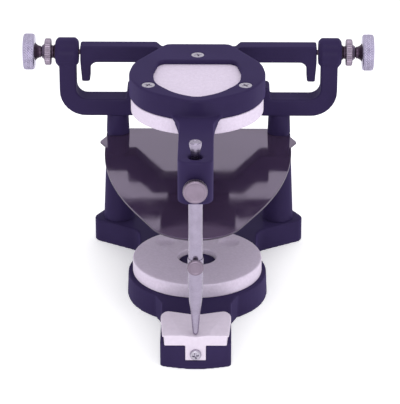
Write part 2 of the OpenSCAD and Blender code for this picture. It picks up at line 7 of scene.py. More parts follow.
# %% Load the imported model
import bmesh
import bpy
import numpy as np
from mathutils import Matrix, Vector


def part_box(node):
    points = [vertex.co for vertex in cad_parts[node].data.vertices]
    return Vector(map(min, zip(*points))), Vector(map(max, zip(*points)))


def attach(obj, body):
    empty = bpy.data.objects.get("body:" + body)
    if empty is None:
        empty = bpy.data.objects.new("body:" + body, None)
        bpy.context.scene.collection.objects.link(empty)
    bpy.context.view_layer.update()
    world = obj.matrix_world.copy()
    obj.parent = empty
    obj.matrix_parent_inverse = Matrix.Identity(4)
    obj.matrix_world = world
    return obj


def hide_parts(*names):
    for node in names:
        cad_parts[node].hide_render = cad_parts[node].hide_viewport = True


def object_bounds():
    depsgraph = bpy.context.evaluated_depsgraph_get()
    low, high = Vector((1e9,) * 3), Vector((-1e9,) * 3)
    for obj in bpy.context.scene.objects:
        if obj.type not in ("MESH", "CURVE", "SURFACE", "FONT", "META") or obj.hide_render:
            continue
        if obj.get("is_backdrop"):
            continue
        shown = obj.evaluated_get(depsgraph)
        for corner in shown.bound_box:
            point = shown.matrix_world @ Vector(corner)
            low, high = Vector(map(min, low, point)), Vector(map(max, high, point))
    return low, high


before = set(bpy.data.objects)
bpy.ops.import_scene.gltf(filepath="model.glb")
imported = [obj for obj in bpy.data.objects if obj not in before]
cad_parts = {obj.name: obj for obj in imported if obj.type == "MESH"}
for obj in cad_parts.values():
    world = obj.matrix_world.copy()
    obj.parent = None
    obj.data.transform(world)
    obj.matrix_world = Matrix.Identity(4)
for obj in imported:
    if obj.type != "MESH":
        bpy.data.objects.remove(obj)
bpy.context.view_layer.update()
mm = 0.001

# %% [markdown]
# ## Camera
# A long lens a metre away gives the flat look of a catalogue picture. A wider lens close by
# would also frame the stand, but it would splay the posts.

# %% Camera
lens = bpy.data.cameras.new("camera")
lens.lens = 212.37
lens.sensor_width = 36
lens.clip_start = 0.05
camera = bpy.data.objects.new("camera", lens)
camera.location = (0.01034, -1.0, 0.50296)
camera.rotation_euler = np.radians((65.45, 0, 0.52))
bpy.context.scene.collection.objects.link(camera)
bpy.context.scene.camera = camera
print("camera at", tuple(round(v, 3) for v in camera.location))

# %% [markdown]
# ## Studio
# Catalogue pictures of small tools are taken in a light tent. A near-white world is the tent,
# and large area lamps give the metal its long soft highlights.

# %% World and lamps
scene = bpy.context.scene
scene.view_settings.view_transform = "Standard"
world = bpy.data.worlds.new("light_tent")
world.use_nodes = True
world.node_tree.nodes["Background"].inputs["Color"].default_value = (0.98, 0.98, 1.0, 1)
world.node_tree.nodes["Background"].inputs["Strength"].default_value = 1.0
scene.world = world


def lamp(name, place, aim, size, watts, tint=(1, 1, 1)):
    """A square area lamp at a place, turned so that it shines at a point."""
    light = bpy.data.lights.new(name, "AREA")
    light.size = size
    light.energy = watts
    light.color = tint
    unit = bpy.data.objects.new(name, light)
    unit.location = place
    away = unit.location - unit.location.__class__(aim)
    unit.rotation_euler = away.to_track_quat("Z", "Y").to_euler()
    scene.collection.objects.link(unit)
    return unit


middle = (0, 0, 0.06)
lamp("front_box", (-0.1, -1.1, 0.16), middle, 0.6, 3.5)
lamp("top_box", (0.1, -0.3, 1.0), middle, 0.5, 1.6)
lamp("side_box", (0.9, -0.3, 0.5), middle, 0.4, 1.0)

# %% [markdown]
# The floor is one pale sheet, far larger than the stand, so that no edge of it shows. It
# glows a little, like the milky sheet of a light table, which keeps the shadows faint.

# %% Floor
half = 3.0
floor_mesh = bpy.data.meshes.new("floor")
floor_mesh.from_pydata([(-half, -half, 0), (half, -half, 0), (half, half, 0), (-half, half, 0)],
                       [], [(0, 1, 2, 3)])
floor = bpy.data.objects.new("floor", floor_mesh)
scene.collection.objects.link(floor)
floor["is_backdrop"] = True
print("floor", 2 * half, "m across")

# %% [markdown]
# ## Finishes
# Every finish is worked out from the place of a point on the object, so no picture is wrapped
# round anything. One helper starts each finish: it sets the plain numbers on the shader and
# gives back the nodes, to which a recipe then adds its grain.


# %% Helpers for finishes
def finish(name, colour, rough, **sockets):
    """A material with one Principled shader, and its plain values set on the shader itself."""
    material = bpy.data.materials.new(name)
    material.use_nodes = True
    shader = material.node_tree.nodes["Principled BSDF"]
    shader.inputs["Base Color"].default_value = (*colour, 1)
    shader.inputs["Roughness"].default_value = rough
    for socket, value in sockets.items():
        shader.inputs[socket.replace("_", " ")].default_value = value
    return material


def grain(material, scale, detail=3.0, stretch=(1, 1, 1)):
    """Noise over the object's own metres. The stretch makes it finer along an axis."""
    nodes, links = material.node_tree.nodes, material.node_tree.links
    place = nodes.new("ShaderNodeTexCoord")
    turn = nodes.new("ShaderNodeMapping")
    turn.inputs["Scale"].default_value = stretch
    noise = nodes.new("ShaderNodeTexNoise")
    noise.inputs["Scale"].default_value = scale
    noise.inputs["Detail"].default_value = detail
    links.new(place.outputs["Object"], turn.inputs["Vector"])
    links.new(turn.outputs["Vector"], noise.inputs["Vector"])
    return noise.outputs["Fac"]


def between(material, factor, low, high):
    """Stretches the middle of a noise, 0.3 to 0.7, over the values low to high."""
    node = material.node_tree.nodes.new("ShaderNodeMapRange")
    for socket, value in (("From Min", 0.3), ("From Max", 0.7), ("To Min", low), ("To Max", high)):
        node.inputs[socket].default_value = value
    material.node_tree.links.new(factor, node.inputs["Value"])
    return node.outputs["Result"]


def vary_colour(material, factor, first, second):
    """Base colour that runs from one colour to another with the noise."""
    node = material.node_tree.nodes.new("ShaderNodeMix")
    node.data_type = "RGBA"
    node.inputs["A"].default_value = (*first, 1)
    node.inputs["B"].default_value = (*second, 1)
    links = material.node_tree.links
    links.new(between(material, factor, 0, 1), node.inputs["Factor"])
    shader = material.node_tree.nodes["Principled BSDF"]
    links.new(node.outputs["Result"], shader.inputs["Base Color"])


def vary_roughness(material, factor, low, high):
    """Roughness that runs between two values with the noise."""
    shader = material.node_tree.nodes["Principled BSDF"]
    material.node_tree.links.new(between(material, factor, low, high), shader.inputs["Roughness"])


def emboss(material, factor, depth, strength=1.0):
    """Fine relief in the light only: the noise is read as a height of the given depth."""
    node = material.node_tree.nodes.new("ShaderNodeBump")
    node.inputs["Distance"].default_value = depth
    node.inputs["Strength"].default_value = strength
    links = material.node_tree.links
    links.new(factor, node.inputs["Height"])
    shader = material.node_tree.nodes["Principled BSDF"]
    links.new(node.outputs["Normal"], shader.inputs["Normal"])


print("finish helpers are ready")

# %% [markdown]
# The castings are sprayed with a dark violet-blue enamel. Sprayed paint shows a fine skin like
# that of an orange, and its gloss changes slowly where the coat is thicker. A thin clear coat
# on the shader gives the second, sharper highlight that real enamel has.

# %% Enamel on the castings
enamel = finish("enamel", (0.024, 0.016, 0.054), 0.5, Specular_IOR_Level=0.0, Coat_Weight=0.08,
                Coat_Roughness=0.3, Sheen_Weight=0.1, Sheen_Roughness=0.55,
                Sheen_Tint=(0.42, 0.33, 0.85, 1))
vary_colour(enamel, grain(enamel, 38), (0.0212, 0.014, 0.0475), (0.027, 0.0182, 0.061))
vary_roughness(enamel, grain(enamel, 210), 0.36, 0.5)
emboss(enamel, grain(enamel, 1100, 2), 0.00006)

# %% [markdown]
# The two mounting plates are matt white plastic. Their faces are lightly grained, because
# plaster has to let go of them. The table under the pin is a smoother, whiter plastic.

# %% White plastics
plate_white = finish("plate_white", (0.63, 0.545, 0.68), 0.6, Specular_IOR_Level=0.4)
vary_colour(plate_white, grain(plate_white, 900, 4), (0.59, 0.51, 0.635), (0.66, 0.575, 0.71))
vary_roughness(plate_white, grain(plate_white, 300), 0.5, 0.68)
emboss(plate_white, grain(plate_white, 1600, 2), 0.00012)

table_white = finish("table_white", (0.60, 0.525, 0.63), 0.42, Specular_IOR_Level=0.5)
vary_colour(table_white, grain(table_white, 500), (0.57, 0.50, 0.60), (0.62, 0.545, 0.65))
vary_roughness(table_white, grain(table_white, 260), 0.36, 0.5)
emboss(table_white, grain(table_white, 2100, 2), 0.00005)

# %% [markdown]
# Turned steel carries the rings that the lathe tool left. Noise that is squeezed along the
# axis of a piece gives rings round it, so each axis gets its own recipe.


# %% Turned steels
def turned_metal(name, colour, rough, along, ring=9000):
    """Metal with fine rings round the axis (0 for X, 1 for Y, 2 for Z)."""
    material = finish(name, colour, rough, Metallic=1.0)
    squeeze = [0.03, 0.03, 0.03]
    squeeze[along] = 1
    dark, light = [0.92 * c for c in colour], [min(1, 1.06 * c) for c in colour]
    vary_colour(material, grain(material, 260), dark, light)
    rings = grain(material, ring, 2, squeeze)
    vary_roughness(material, rings, rough - 0.06, rough + 0.1)
    emboss(material, rings, 0.000012)
    return material


across, forward, upright = 0, 1, 2
pin_steel = turned_metal("pin_steel", (0.31, 0.27, 0.36), 0.24, upright)
knob_steel = turned_metal("knob_steel", (0.215, 0.17, 0.225), 0.36, forward)
wheel_steel = turned_metal("wheel_steel", (0.43, 0.39, 0.525), 0.30, across)
screw_steel = turned_metal("screw_steel", (0.42, 0.39, 0.46), 0.30, upright)
nut_steel = turned_metal("nut_steel", (0.27, 0.22, 0.285), 0.38, across)
black_steel = turned_metal("black_steel", (0.075, 0.05, 0.08), 0.4, across)
brass = turned_metal("brass", (0.72, 0.52, 0.24), 0.3, across)
print("metals:", [m.name for m in (pin_steel, knob_steel, wheel_steel, nut_steel, screw_steel, brass)])

# %% [markdown]
# The occlusal plate is dark smoke acrylic, polished on both faces. It is nearly a mirror when
# seen at a flat angle, which needs a high index of refraction and almost no roughness. Its
# sawn edge is duller, and its slightly paler colour is a painted highlight along the rim.

# %% Smoke acrylic
smoke = finish("smoke_acrylic", (0.040, 0.024, 0.052), 0.07, IOR=2.1,
               Specular_Tint=(0.75, 0.55, 0.9, 1))
vary_colour(smoke, grain(smoke, 26), (0.034, 0.020, 0.045), (0.048, 0.030, 0.062))
vary_roughness(smoke, grain(smoke, 120), 0.05, 0.12)
emboss(smoke, grain(smoke, 60, 1), 0.00003)
# The edge finish is rougher than the faces, and its paler colour is a painted highlight along the rim.
smoke_edge_painted_highlight = finish("smoke_edge_painted_highlight", (0.045, 0.032, 0.06), 0.45, IOR=1.35)
vary_colour(smoke_edge_painted_highlight, grain(smoke_edge_painted_highlight, 400), (0.038, 0.027, 0.05), (0.055, 0.038, 0.07))

# %% [markdown]
# The floor is matt paper over a dim lamp, with a trace of fibre so that it isn't a flat
# colour. Its own light is a quarter of full white.

# %% Paper
paper = finish("paper", (0.985, 0.985, 0.985), 0.9, Specular_IOR_Level=0.1,
               Emission_Color=(1, 1, 1, 1), Emission_Strength=0.25)
vary_colour(paper, grain(paper, 240), (0.975, 0.975, 0.975), (0.985, 0.985, 0.985))
floor_mesh.materials.append(paper)
print("finishes:", len(bpy.data.materials))

# %% [markdown]
# ## Turned pieces
# Most small parts came off a lathe: a profile spun about an axis. A profile here is a list of
# radius and station, in millimetres. Sharp corners look false, so each one is first swapped
# for a short curve.


# %% Profile helpers
def eased(profile, radii, steps=4, closed=False):
    """Corners B between A and C become curves (1-t)^2 P + 2t(1-t) B + t^2 Q, in which P and Q
    lie at the corner's radius, or at 45% of a shorter side, from B."""
    p = np.asarray(profile, float)
    r = np.broadcast_to(np.asarray(radii, float), len(p))[:, None]
    before, after = np.roll(p, 1, 0) - p, np.roll(p, -1, 0) - p
    reach = [np.linalg.norm(side, axis=1, keepdims=True) for side in (before, after)]
    first = p + before * np.minimum(r, 0.45 * reach[0]) / np.maximum(reach[0], 1e-9)
    last = p + after * np.minimum(r, 0.45 * reach[1]) / np.maximum(reach[1], 1e-9)
    t = np.linspace(0, 1, steps + 1)[:, None, None]
    curve = (1 - t) ** 2 * first + 2 * t * (1 - t) * p + t ** 2 * last
    curve = curve.transpose(1, 0, 2)
    if not closed:
        curve[0], curve[-1] = p[0], p[-1]
    flat = curve.reshape(-1, 2)
    step = np.linalg.norm(np.diff(flat, axis=0), axis=1)
    return flat[np.concatenate([[True], step > 1e-6])]


def divided(profile, longest, closed=False):
    """Cuts each side of a profile into equal steps, none longer than the given length."""
    p = np.vstack([profile, profile[:1]]) if closed else profile
    side = np.linalg.norm(np.diff(p, axis=0), axis=1)
    count = np.maximum(1, np.ceil(side / longest)).astype(int)
    start = np.repeat(np.arange(len(side)), count)
    first = np.repeat(np.cumsum(count) - count, count)
    t = ((np.arange(count.sum()) - first) / np.repeat(count, count))[:, None]
    points = p[start] * (1 - t) + p[start + 1] * t
    return points if closed else np.vstack([points, p[-1:]])


test = divided(eased([[0, 0], [5, 0], [5, 3], [0, 3]], 0.5), 0.5)
print("a disc's profile has", len(test), "points")

# %% [markdown]
# The next helper makes the mesh. It merges the points that meet on the axis, so that poles
# are closed. It then measures the volume, because a negative one means that the faces point
# inwards and have to be turned.


# %% Mesh and dressing helpers
def solid(name, points, quads, material, smooth=38):
    """Closed mesh from arrays of points (millimetres) and faces of four point numbers. The
    volume is the sum of a . (b x c) / 6 over all triangles."""
    mesh = bpy.data.meshes.new(name)
    points, quads = np.asarray(points, float).reshape(-1, 3) * mm, np.asarray(quads)
    a, b, c, d = (points[quads[:, k]] for k in range(4))
    volume = (a * np.cross(b, c)).sum() + (a * np.cross(c, d)).sum()
    if volume < 0:
        quads = quads[:, ::-1]
    mesh.from_pydata(points, [], quads)
    mesh.materials.append(material)
    piece = bpy.data.objects.new(name, mesh)
    scene.collection.objects.link(piece)
    weld(mesh, 2e-7)
    mesh.validate()
    soften(mesh, smooth)
    return piece


def weld(mesh, distance):
    """Merges points that lie together, which also removes the faces that they collapse."""
    work = bmesh.new()
    work.from_mesh(mesh)
    bmesh.ops.remove_doubles(work, verts=work.verts, dist=distance)
    work.to_mesh(mesh)
    work.free()


def soften(mesh, angle):
    """Smooth shading, with edges kept sharp where faces meet at more than the angle."""
    mesh.polygons.foreach_set("use_smooth", np.ones(len(mesh.polygons), bool))
    mesh.set_sharp_from_angle(angle=np.radians(angle))


def dress(piece, body, slot, *nodes):
    """The piece rides on a body and stands for the CAD nodes. The slot is not used."""
    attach(piece, body)
    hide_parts(*nodes)
    print(f"{piece.name}: {len(piece.data.polygons)} faces on {body}")
    return piece


def spun(name, profile, centre, axis, material, steps=96, closed=False, shape=None, turns=(0,)):
    """Surface of revolution: centre + station * axis + radius * (cos a * u + sin a * v). The
    optional shape takes (radius, angle, station) and gives a changed radius and station.
    More centres and turns make more copies, each turned by its angle."""
    axis = np.asarray(axis, float)
    u = np.array([0, 0, 1.0]) if abs(axis[2]) < 0.5 else np.array([1.0, 0, 0])
    v = np.cross(axis, u)
    rows = np.asarray(profile, float)
    angle = np.arange(steps) * 2 * np.pi / steps
    radius, station = (np.repeat(rows[:, k:k + 1], steps, 1) for k in (0, 1))
    angle = np.broadcast_to(angle, radius.shape)
    if shape:
        radius, station = shape(radius, angle, station)
    i = np.arange(len(rows) if closed else len(rows) - 1)[:, None]
    j = np.arange(steps)[None, :]
    i2, j2 = (i + 1) % len(rows), (j + 1) % steps
    face = np.stack([i * steps + j, i2 * steps + j, i2 * steps + j2, i * steps + j2], -1).reshape(-1, 4)
    points, faces = [], []
    for k, (middle_point, turn) in enumerate(zip(np.atleast_2d(centre), turns)):
        way = np.cos(angle + turn)[..., None] * u + np.sin(angle + turn)[..., None] * v
        place = middle_point + station[..., None] * axis + radius[..., None] * way
        points.append(place.reshape(-1, 3))
        faces.append(face + k * rows.shape[0] * steps)
    return solid(name, np.vstack(points), np.vstack(faces), material)


print("mesh helpers are ready")

# %% [markdown]
# ## Castings
# The base, the yoke and the upper frame are aluminium castings. No edge of a casting is sharp,
# and its corners are filled. A bevel can't do both where curved walls meet, so a copy of the
# part is rebuilt from small cubes and then relaxed, which rounds edges and fills corners as a
# mould does.


# %% Soft copies of the castings
def cast(node, body, voxel, passes, material, slot, keep_angle=60):
    """Copy of a part, merged, rebuilt on a grid of the voxel size in millimetres, relaxed."""
    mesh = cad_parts[node].data.copy()
    weld(mesh, 2e-6)
    work = bpy.data.objects.new("work", mesh)
    scene.collection.objects.link(work)
    grid = work.modifiers.new("grid", "REMESH")
    grid.mode = "VOXEL"
    grid.voxel_size = voxel * mm
    relax = work.modifiers.new("relax", "SMOOTH")
    relax.factor = 0.5
    relax.iterations = passes
    bpy.context.view_layer.update()
    finished = work.evaluated_get(bpy.context.evaluated_depsgraph_get())
    done = bpy.data.meshes.new_from_object(finished)
    bpy.data.objects.remove(work)
    done.materials.clear()
    done.materials.append(material)
    soften(done, keep_angle)
    done.name = "soft_" + node
    piece = bpy.data.objects.new("soft_" + node, done)
    scene.collection.objects.link(piece)
    return dress(piece, body, slot, node)


cast("base_casting", "base", 0.6, 4, enamel, "frame_paint")
cast("yoke", "base", 0.45, 4, enamel, "frame_paint")
cast("upper_frame", "upper", 0.45, 4, enamel, "frame_paint")

# %% [markdown]
# ## Posts
# The two posts are slim turned cones. A groove round each one holds the back of the occlusal
# plate, which slides in from the front.

# %% Posts
sheet_z = 56
for side in ("left", "right"):
    low, high = (np.array(c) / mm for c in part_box(side + "_post"))
    axis_x, axis_y = (low[:2] + high[:2]) / 2
    foot, height = (high[0] - low[0]) / 2, high[2] - low[2]
    groove, top = sheet_z - low[2], 5.1
    lean = (top - foot) / height
    profile = eased([[0, 0], [foot, 0], [foot + lean * (groove - 0.6), groove - 0.6],
                     [5, groove - 0.6], [5, groove + 0.6],
                     [foot + lean * (groove + 0.6), groove + 0.6], [top, height], [0, height]],
                    [0, 0.5, 0.25, 0.1, 0.1, 0.25, 0.4, 0])
    post = spun(side + "_slim_post", divided(profile, 1.5), (axis_x, axis_y, low[2]), (0, 0, 1), enamel)
    dress(post, "base", "frame_paint", side + "_post")

# %% [markdown]
# ## Mounting plates
# Plaster is poured onto these two white discs. The lower one has a bore, which a spigot of the
# base fills, and two shallow dimples that key the plaster. The dimples are smooth hollows, so
# they are a change of height over the disc and not holes with sharp rims.

# %% Lower mounting plate
low, high = (np.array(c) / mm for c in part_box("lower_mounting_plate"))
plate_r, plate_t = (high[0] - low[0]) / 2, high[2] - low[2]
bore_r = 8.9
hollow_x, hollow_y, hollow_r, hollow_depth = 14.7, 15.4, 4.9, 1.3


def dimpled(radius, angle, station):
    """Two hollows sink the top by depth * (1 - d^4), with d the distance from the middle of
    a hollow over its radius. Points below the top stay where they are."""
    x, y = radius * np.cos(angle), radius * np.sin(angle)
    on_top = station > plate_t - 0.05
    sink = 0
    for side in (-1, 1):
        d = np.minimum(np.hypot(x - side * hollow_x, y - hollow_y) / hollow_r, 1)
        sink = sink + (1 - d ** 4)
    return radius, station - hollow_depth * sink * on_top


ring = eased([[bore_r, 0], [plate_r, 0], [plate_r, plate_t], [bore_r, plate_t]],
             [0.3, 0.5, 0.8, 0.6], closed=True)
lower_plate = spun("lower_plate", divided(ring, 0.55, closed=True), (0, 0, low[2]), (0, 0, 1),
                   plate_white, 300, closed=True, shape=dimpled)
dress(lower_plate, "base", "mounting_plate_white", "lower_mounting_plate")

# %% Upper mounting plate
low, high = (np.array(c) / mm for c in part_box("upper_mounting_plate"))
step_top = high[2] - low[2]


def dished(radius, angle, station):
    """One hollow near the front of the step sinks it by 0.6 (1 - d^2)^2 millimetres."""
    x, y = radius * np.cos(angle), radius * np.sin(angle)
    d = np.minimum(np.hypot(x, y + 18) / 9.0, 1)
    return radius, station - 0.6 * (1 - d ** 2) ** 2 * (station > step_top - 0.05)


disc = eased([[0, 0], [plate_r, 0], [plate_r, plate_t], [27.95, plate_t], [27.95, step_top],
              [0, step_top]], [0, 0.8, 0.5, 0.1, 0.4, 0])
upper_plate = spun("upper_plate", divided(disc, 0.8), (0, 0, low[2]), (0, 0, 1), plate_white, 240,
                   shape=dished)
dress(upper_plate, "upper", "mounting_plate_white", "upper_mounting_plate")

# %% [markdown]
# ## Incisal table
# A white block sits on the nose of the base, and the point of the pin rests in its shallow
# trough. It is moulded, so its edges are small radii: the same rebuild as for the castings
# does it, on a much finer grid.

# %% Incisal table
cast("incisal_table", "base", 0.22, 4, table_white, "table_white", 50)

# %% [markdown]
# ## Occlusal plate
# A thin acrylic sheet shows the plane in which the teeth should meet. It is sawn and polished,
# so it keeps flat faces, and only its edges are broken by a narrow bevel.


# %% Occlusal plate
def sheet_copy(node, name, width, face_finish, edge_finish):
    """The flat top of a part and its copy below, both drawn in by the width, with a rim of three
    bands between them. An edge of one top triangle only is on the outline. There the corner
    moves in by width * 2 s / |s|^2, with s the sum of the outward normals of its two edges."""
    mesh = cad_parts[node].data.copy()
    weld(mesh, 2e-6)
    mesh.calc_loop_triangles()
    place = np.empty(3 * len(mesh.vertices))
    mesh.vertices.foreach_get("co", place)
    place = place.reshape(-1, 3)
    tris = np.empty(3 * len(mesh.loop_triangles), np.int32)
    mesh.loop_triangles.foreach_get("vertices", tris)
    tris = tris.reshape(-1, 3)
    top, bottom = place[:, 2].max(), place[:, 2].min()
    tris = tris[(place[tris, 2] > top - 1e-6).all(1)]
    used, tris = np.unique(tris, return_inverse=True)
    tris, flat = tris.reshape(-1, 3), place[used, :2]
    edges = np.vstack([tris[:, [0, 1]], tris[:, [1, 2]], tris[:, [2, 0]]])
    rim = edges[~np.isin(edges @ [len(used), 1], edges @ [1, len(used)])]
    run = flat[rim[:, 1]] - flat[rim[:, 0]]
    normal = np.stack([run[:, 1], -run[:, 0]], 1) / np.linalg.norm(run, axis=1, keepdims=True)
    total = np.zeros_like(flat)
    np.add.at(total, rim[:, 0], normal)
    np.add.at(total, rim[:, 1], normal)
    length = np.maximum((total ** 2).sum(1, keepdims=True), 0.5)
    inset = flat - width * mm * 2 * total / length
    heights = (top, top - width * mm, bottom + width * mm, bottom)
    rows = [np.column_stack([xy, np.full(len(xy), z)])
            for xy, z in zip((inset, flat, flat, inset), heights)]
    n = len(used)
    bands = [np.column_stack([rim + k * n, rim[:, ::-1] + (k + 1) * n]) for k in range(3)]
    bands = np.vstack([band[:, ::-1] for band in bands])
    mesh = bpy.data.meshes.new(name)
    faces = tris.tolist() + (tris[:, ::-1] + 3 * n).tolist() + bands.tolist()
    mesh.from_pydata(np.vstack(rows), [], faces)
    mesh.materials.append(face_finish)
    mesh.materials.append(edge_finish)
    # The upright and lower rim bands take the edge finish, whose paler colour is painted highlight.
    past = np.arange(len(mesh.polygons)) - 2 * len(tris)
    mesh.polygons.foreach_set("material_index", (past >= len(rim)).astype(np.int32))
    soften(mesh, 14)
    piece = bpy.data.objects.new(name, mesh)
    scene.collection.objects.link(piece)
    return piece


plane = sheet_copy("occlusal_plate", "plane_sheet", 0.14, smoke, smoke_edge_painted_highlight)
dress(plane, "plane_plate", "occlusal_smoke", "occlusal_plate")

# %% [markdown]
# ## Incisal pin
# The pin is a ground steel rod that slides in the front of the upper frame. A peg on its top
# is waisted at the foot and has a turned rim. The pointed tip is a separate cone, held by a
# small set screw.

# %% Pin and tip
low, high = (np.array(c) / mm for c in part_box("incisal_pin"))
pin_y = (low[1] + high[1]) / 2
top = high[2] - low[2]
shoulder = top - 8.9
rod = [[0, 0], [1.9, 0], [1.9, 10], [3.1, 10], [3.1, shoulder], [1.7, shoulder], [1.7, top - 7.1],
       [2.6, top - 2.2], [2.7, top - 0.5], [2.25, top], [1.5, top], [1.2, top - 0.25],
       [0, top - 0.25]]
rod = eased(rod, [0, 0.2, 0, 0.12, 0.3, 0.1, 0.3, 0.8, 0.2, 0.25, 0.15, 0.2, 0])
pin = spun("ground_pin", divided(rod, 3.0), (0, pin_y, low[2]), (0, 0, 1), pin_steel, 72)
dress(pin, "pin", "pin_steel", "incisal_pin")

low, high = (np.array(c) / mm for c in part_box("pin_tip"))
cone = [[0, 0], [0.7, 0.35], [1.3, 1.3], [1.75, 7.1], [2.05, 10.9], [3, 17.6], [3.3, 24],
        [3.45, 37.5], [1.95, 37.5], [1.95, 27.2], [0, 27.2]]
cone = eased(cone, [0, 0.4, 0.8, 2, 1.6, 2.4, 2, 0.3, 0.15, 0.1, 0])
tip = spun("tip_cone", divided(cone, 2.0), (0, pin_y, low[2]), (0, 0, 1), pin_steel, 72)
dress(tip, "pin", "pin_steel", "pin_tip")

# %% [markdown]
# ## Knurled wheels and nuts
# A knurl is rolled into the rim: two sets of slanted grooves cross and leave small pyramids.
# It is real relief here, because the rims are seen edge on. A tooth takes eight points round
# the rim, the fewest that show a slope on both sides.


# %% Knurl
def ridge(t):
    """Triangle wave: 0 at whole numbers, 1 half-way between them."""
    return 1 - np.abs(2 * (t % 1) - 1)


def knurled(rim, teeth, depth, first, last, slant=1.0):
    """The rim sinks by depth * (1 - the lower of two triangle waves), which run across it at
    opposite slants. The relief fades over 0.3 mm at both ends of the rim."""
    pitch = 2 * np.pi * rim / teeth

    def shape(radius, angle, station):
        fade = np.clip(np.minimum(station - first, last - station) / 0.3, 0, 1)
        fade = fade * np.clip((radius - rim + 0.5) / 0.3, 0, 1)
        turn, along = teeth * angle / (2 * np.pi), slant * station / pitch
        pyramid = np.minimum(ridge(turn + along), ridge(turn - along)) if slant else ridge(turn)
        return radius - depth * fade * (1 - pyramid), station
    return shape


def hinge_side(name):
    """Outward axis and the inner station of a turned node on the hinge axis, with its middle."""
    low, high = (np.array(c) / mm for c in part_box(name))
    out = 1.0 if high[0] > 0 else -1.0
    inner = low[0] if out > 0 else high[0]
    return out, np.array([inner, (low[1] + high[1]) / 2, (low[2] + high[2]) / 2]), high[0] - low[0]


# %% Thumb wheels
for side in ("left", "right"):
    out, centre, width = hinge_side(side + "_thumb_wheel")
    r = 8.7
    profile = [[0, 4.7], [2.05, 4.7], [2.05, 0], [r - 0.9, 0], [r, 0.8], [r, width - 0.8],
               [r - 0.9, width], [6.0, width], [5.6, width - 0.4], [0, width - 0.4]]
    profile = eased(profile, [0, 0, 0.2, 0.5, 0.5, 0.5, 0.5, 0.2, 0.3, 0])
    wheel = spun(side + "_wheel_rim", divided(profile, 0.17), centre, (out, 0, 0), wheel_steel, 352,
                 shape=knurled(r, 44, 0.42, 0.5, width - 0.5))
    dress(wheel, side + "_wheel", "knurled_steel", side + "_thumb_wheel")

# %% Lock nuts
for side in ("left", "right"):
    out, centre, width = hinge_side(side + "_lock_nut")
    r, rim_t, bore = 6.35, 3.2, 2.55
    profile = [[bore, 0], [r - 0.5, 0], [r, 0.45], [r, rim_t - 0.45], [r - 0.5, rim_t],
               [3.9, rim_t], [3.0, width], [bore, width]]
    profile = eased(profile, [0.1, 0.3, 0.3, 0.3, 0.3, 0.2, 0.2, 0.1], closed=True)
    nut = spun(side + "_nut_rim", divided(profile, 0.2, closed=True), centre, (out, 0, 0), nut_steel,
               288, closed=True, shape=knurled(r, 36, 0.35, 0.3, rim_t - 0.3, 0))
    dress(nut, side + "_nut", "knurled_steel", side + "_lock_nut")

# %% [markdown]
# ## Pivot screws, washers and bushes
# A pivot screw is threaded through the boss of the yoke, and its slim journal turns in a
# brass bush in the end of the crossbar. The thread is cut into the shank, so the relief only
# ever goes inwards.


# %% Thread
def threaded(radius_of_shank, first, last, pitch, depth):
    """The shank sinks by depth * (1 - triangle wave of station / pitch - angle / full turn),
    a helix, between two stations."""
    def shape(radius, angle, station):
        on_shank = (np.abs(radius - radius_of_shank) < 0.02) & (station > first) & (station < last)
        wave = ridge(station / pitch - angle / (2 * np.pi))
        return radius - depth * on_shank * (1 - wave), station
    return shape


# %% Pivot screws
for side in ("left", "right"):
    out, centre, width = hinge_side(side + "_pivot_screw")
    shank, neck, seat = 4.75, 22.2, 24.9
    profile = [[0, 0], [0.8, 0], [1.2, 0.4], [1.2, shank], [2.5, shank], [2.5, neck], [2.85, neck],
               [2.85, neck + 0.8], [3.35, neck + 1.7], [4.3, seat], [2, seat], [2, width], [0, width]]
    profile = eased(profile, [0, 0.1, 0.1, 0.1, 0.3, 0, 0.05, 0.4, 0.6, 0.15, 0, 0.1, 0])
    screw = spun(side + "_pivot_thread", divided(profile, 0.1), centre, (out, 0, 0), black_steel, 48,
                 shape=threaded(2.5, shank + 0.2, neck - 0.1, 0.8, 0.3))
    dress(screw, side + "_pivot", "screw_steel", side + "_pivot_screw")

# %% Washers and bushes
for side in ("left", "right"):
    out, centre, width = hinge_side(side + "_lock_washer")
    loop = eased([[2.55, 0], [3.6, 0], [3.55, 0.3], [2.9, 0.9], [3.2, width], [2.55, width]],
                 [0.1, 0.1, 0.3, 0.4, 0.1, 0.1], closed=True)
    washer = spun(side + "_washer_ring", divided(loop, 0.3, closed=True), centre, (out, 0, 0),
                  black_steel, 72, closed=True)
    dress(washer, side + "_washer", "screw_steel", side + "_lock_washer")
    out, centre, width = hinge_side(side + "_pivot_bush")
    cup = [[0, 0], [2.5, 0], [2.5, width], [1.25, width], [1.25, 1.0], [0, 1.0]]
    cup = eased(cup, [0, 0.15, 0.15, 0.2, 0, 0])
    bush = spun(side + "_brass_bush", divided(cup, 0.5), centre, (out, 0, 0), brass, 64)
    dress(bush, "upper", "bush_brass", side + "_pivot_bush")

# %% [markdown]
# ## Screws
# Screw heads have a cross recess. The head is a disc of rings and spokes, and the recess is a
# drop in height wherever a point lies inside either arm of the cross.


# %% Cross recess
def crossed(head_r, top, arm, depth, dome=0.0):
    """Near the top, a point sinks by depth where it is inside an arm: within arm / 2 of one
    axis and within 0.62 head radii of the middle. A dome adds dome * (1 - (r / R)^2)."""
    def shape(radius, angle, station):
        x, y = np.abs(radius * np.cos(angle)), np.abs(radius * np.sin(angle))
        beside = (arm / 2 - np.minimum(x, y)) / 0.12
        along = (0.62 * head_r - np.maximum(x, y)) / 0.25
        inside = np.clip(np.minimum(beside, along), 0, 1)
        face = np.clip((station - top + 0.05) / 0.02, 0, 1) * (radius < head_r)
        rise = dome * (1 - np.minimum(radius / head_r, 1) ** 2)
        return radius, station + face * (rise - depth * inside)
    return shape


def at_plate_screws(height):
    """Centres of the three plate screws: a circle of 50 mm, the first one at the rear."""
    angle = np.radians([90, 210, 330])
    return np.stack([25 * np.cos(angle), 25 * np.sin(angle), np.full(3, height)], 1)


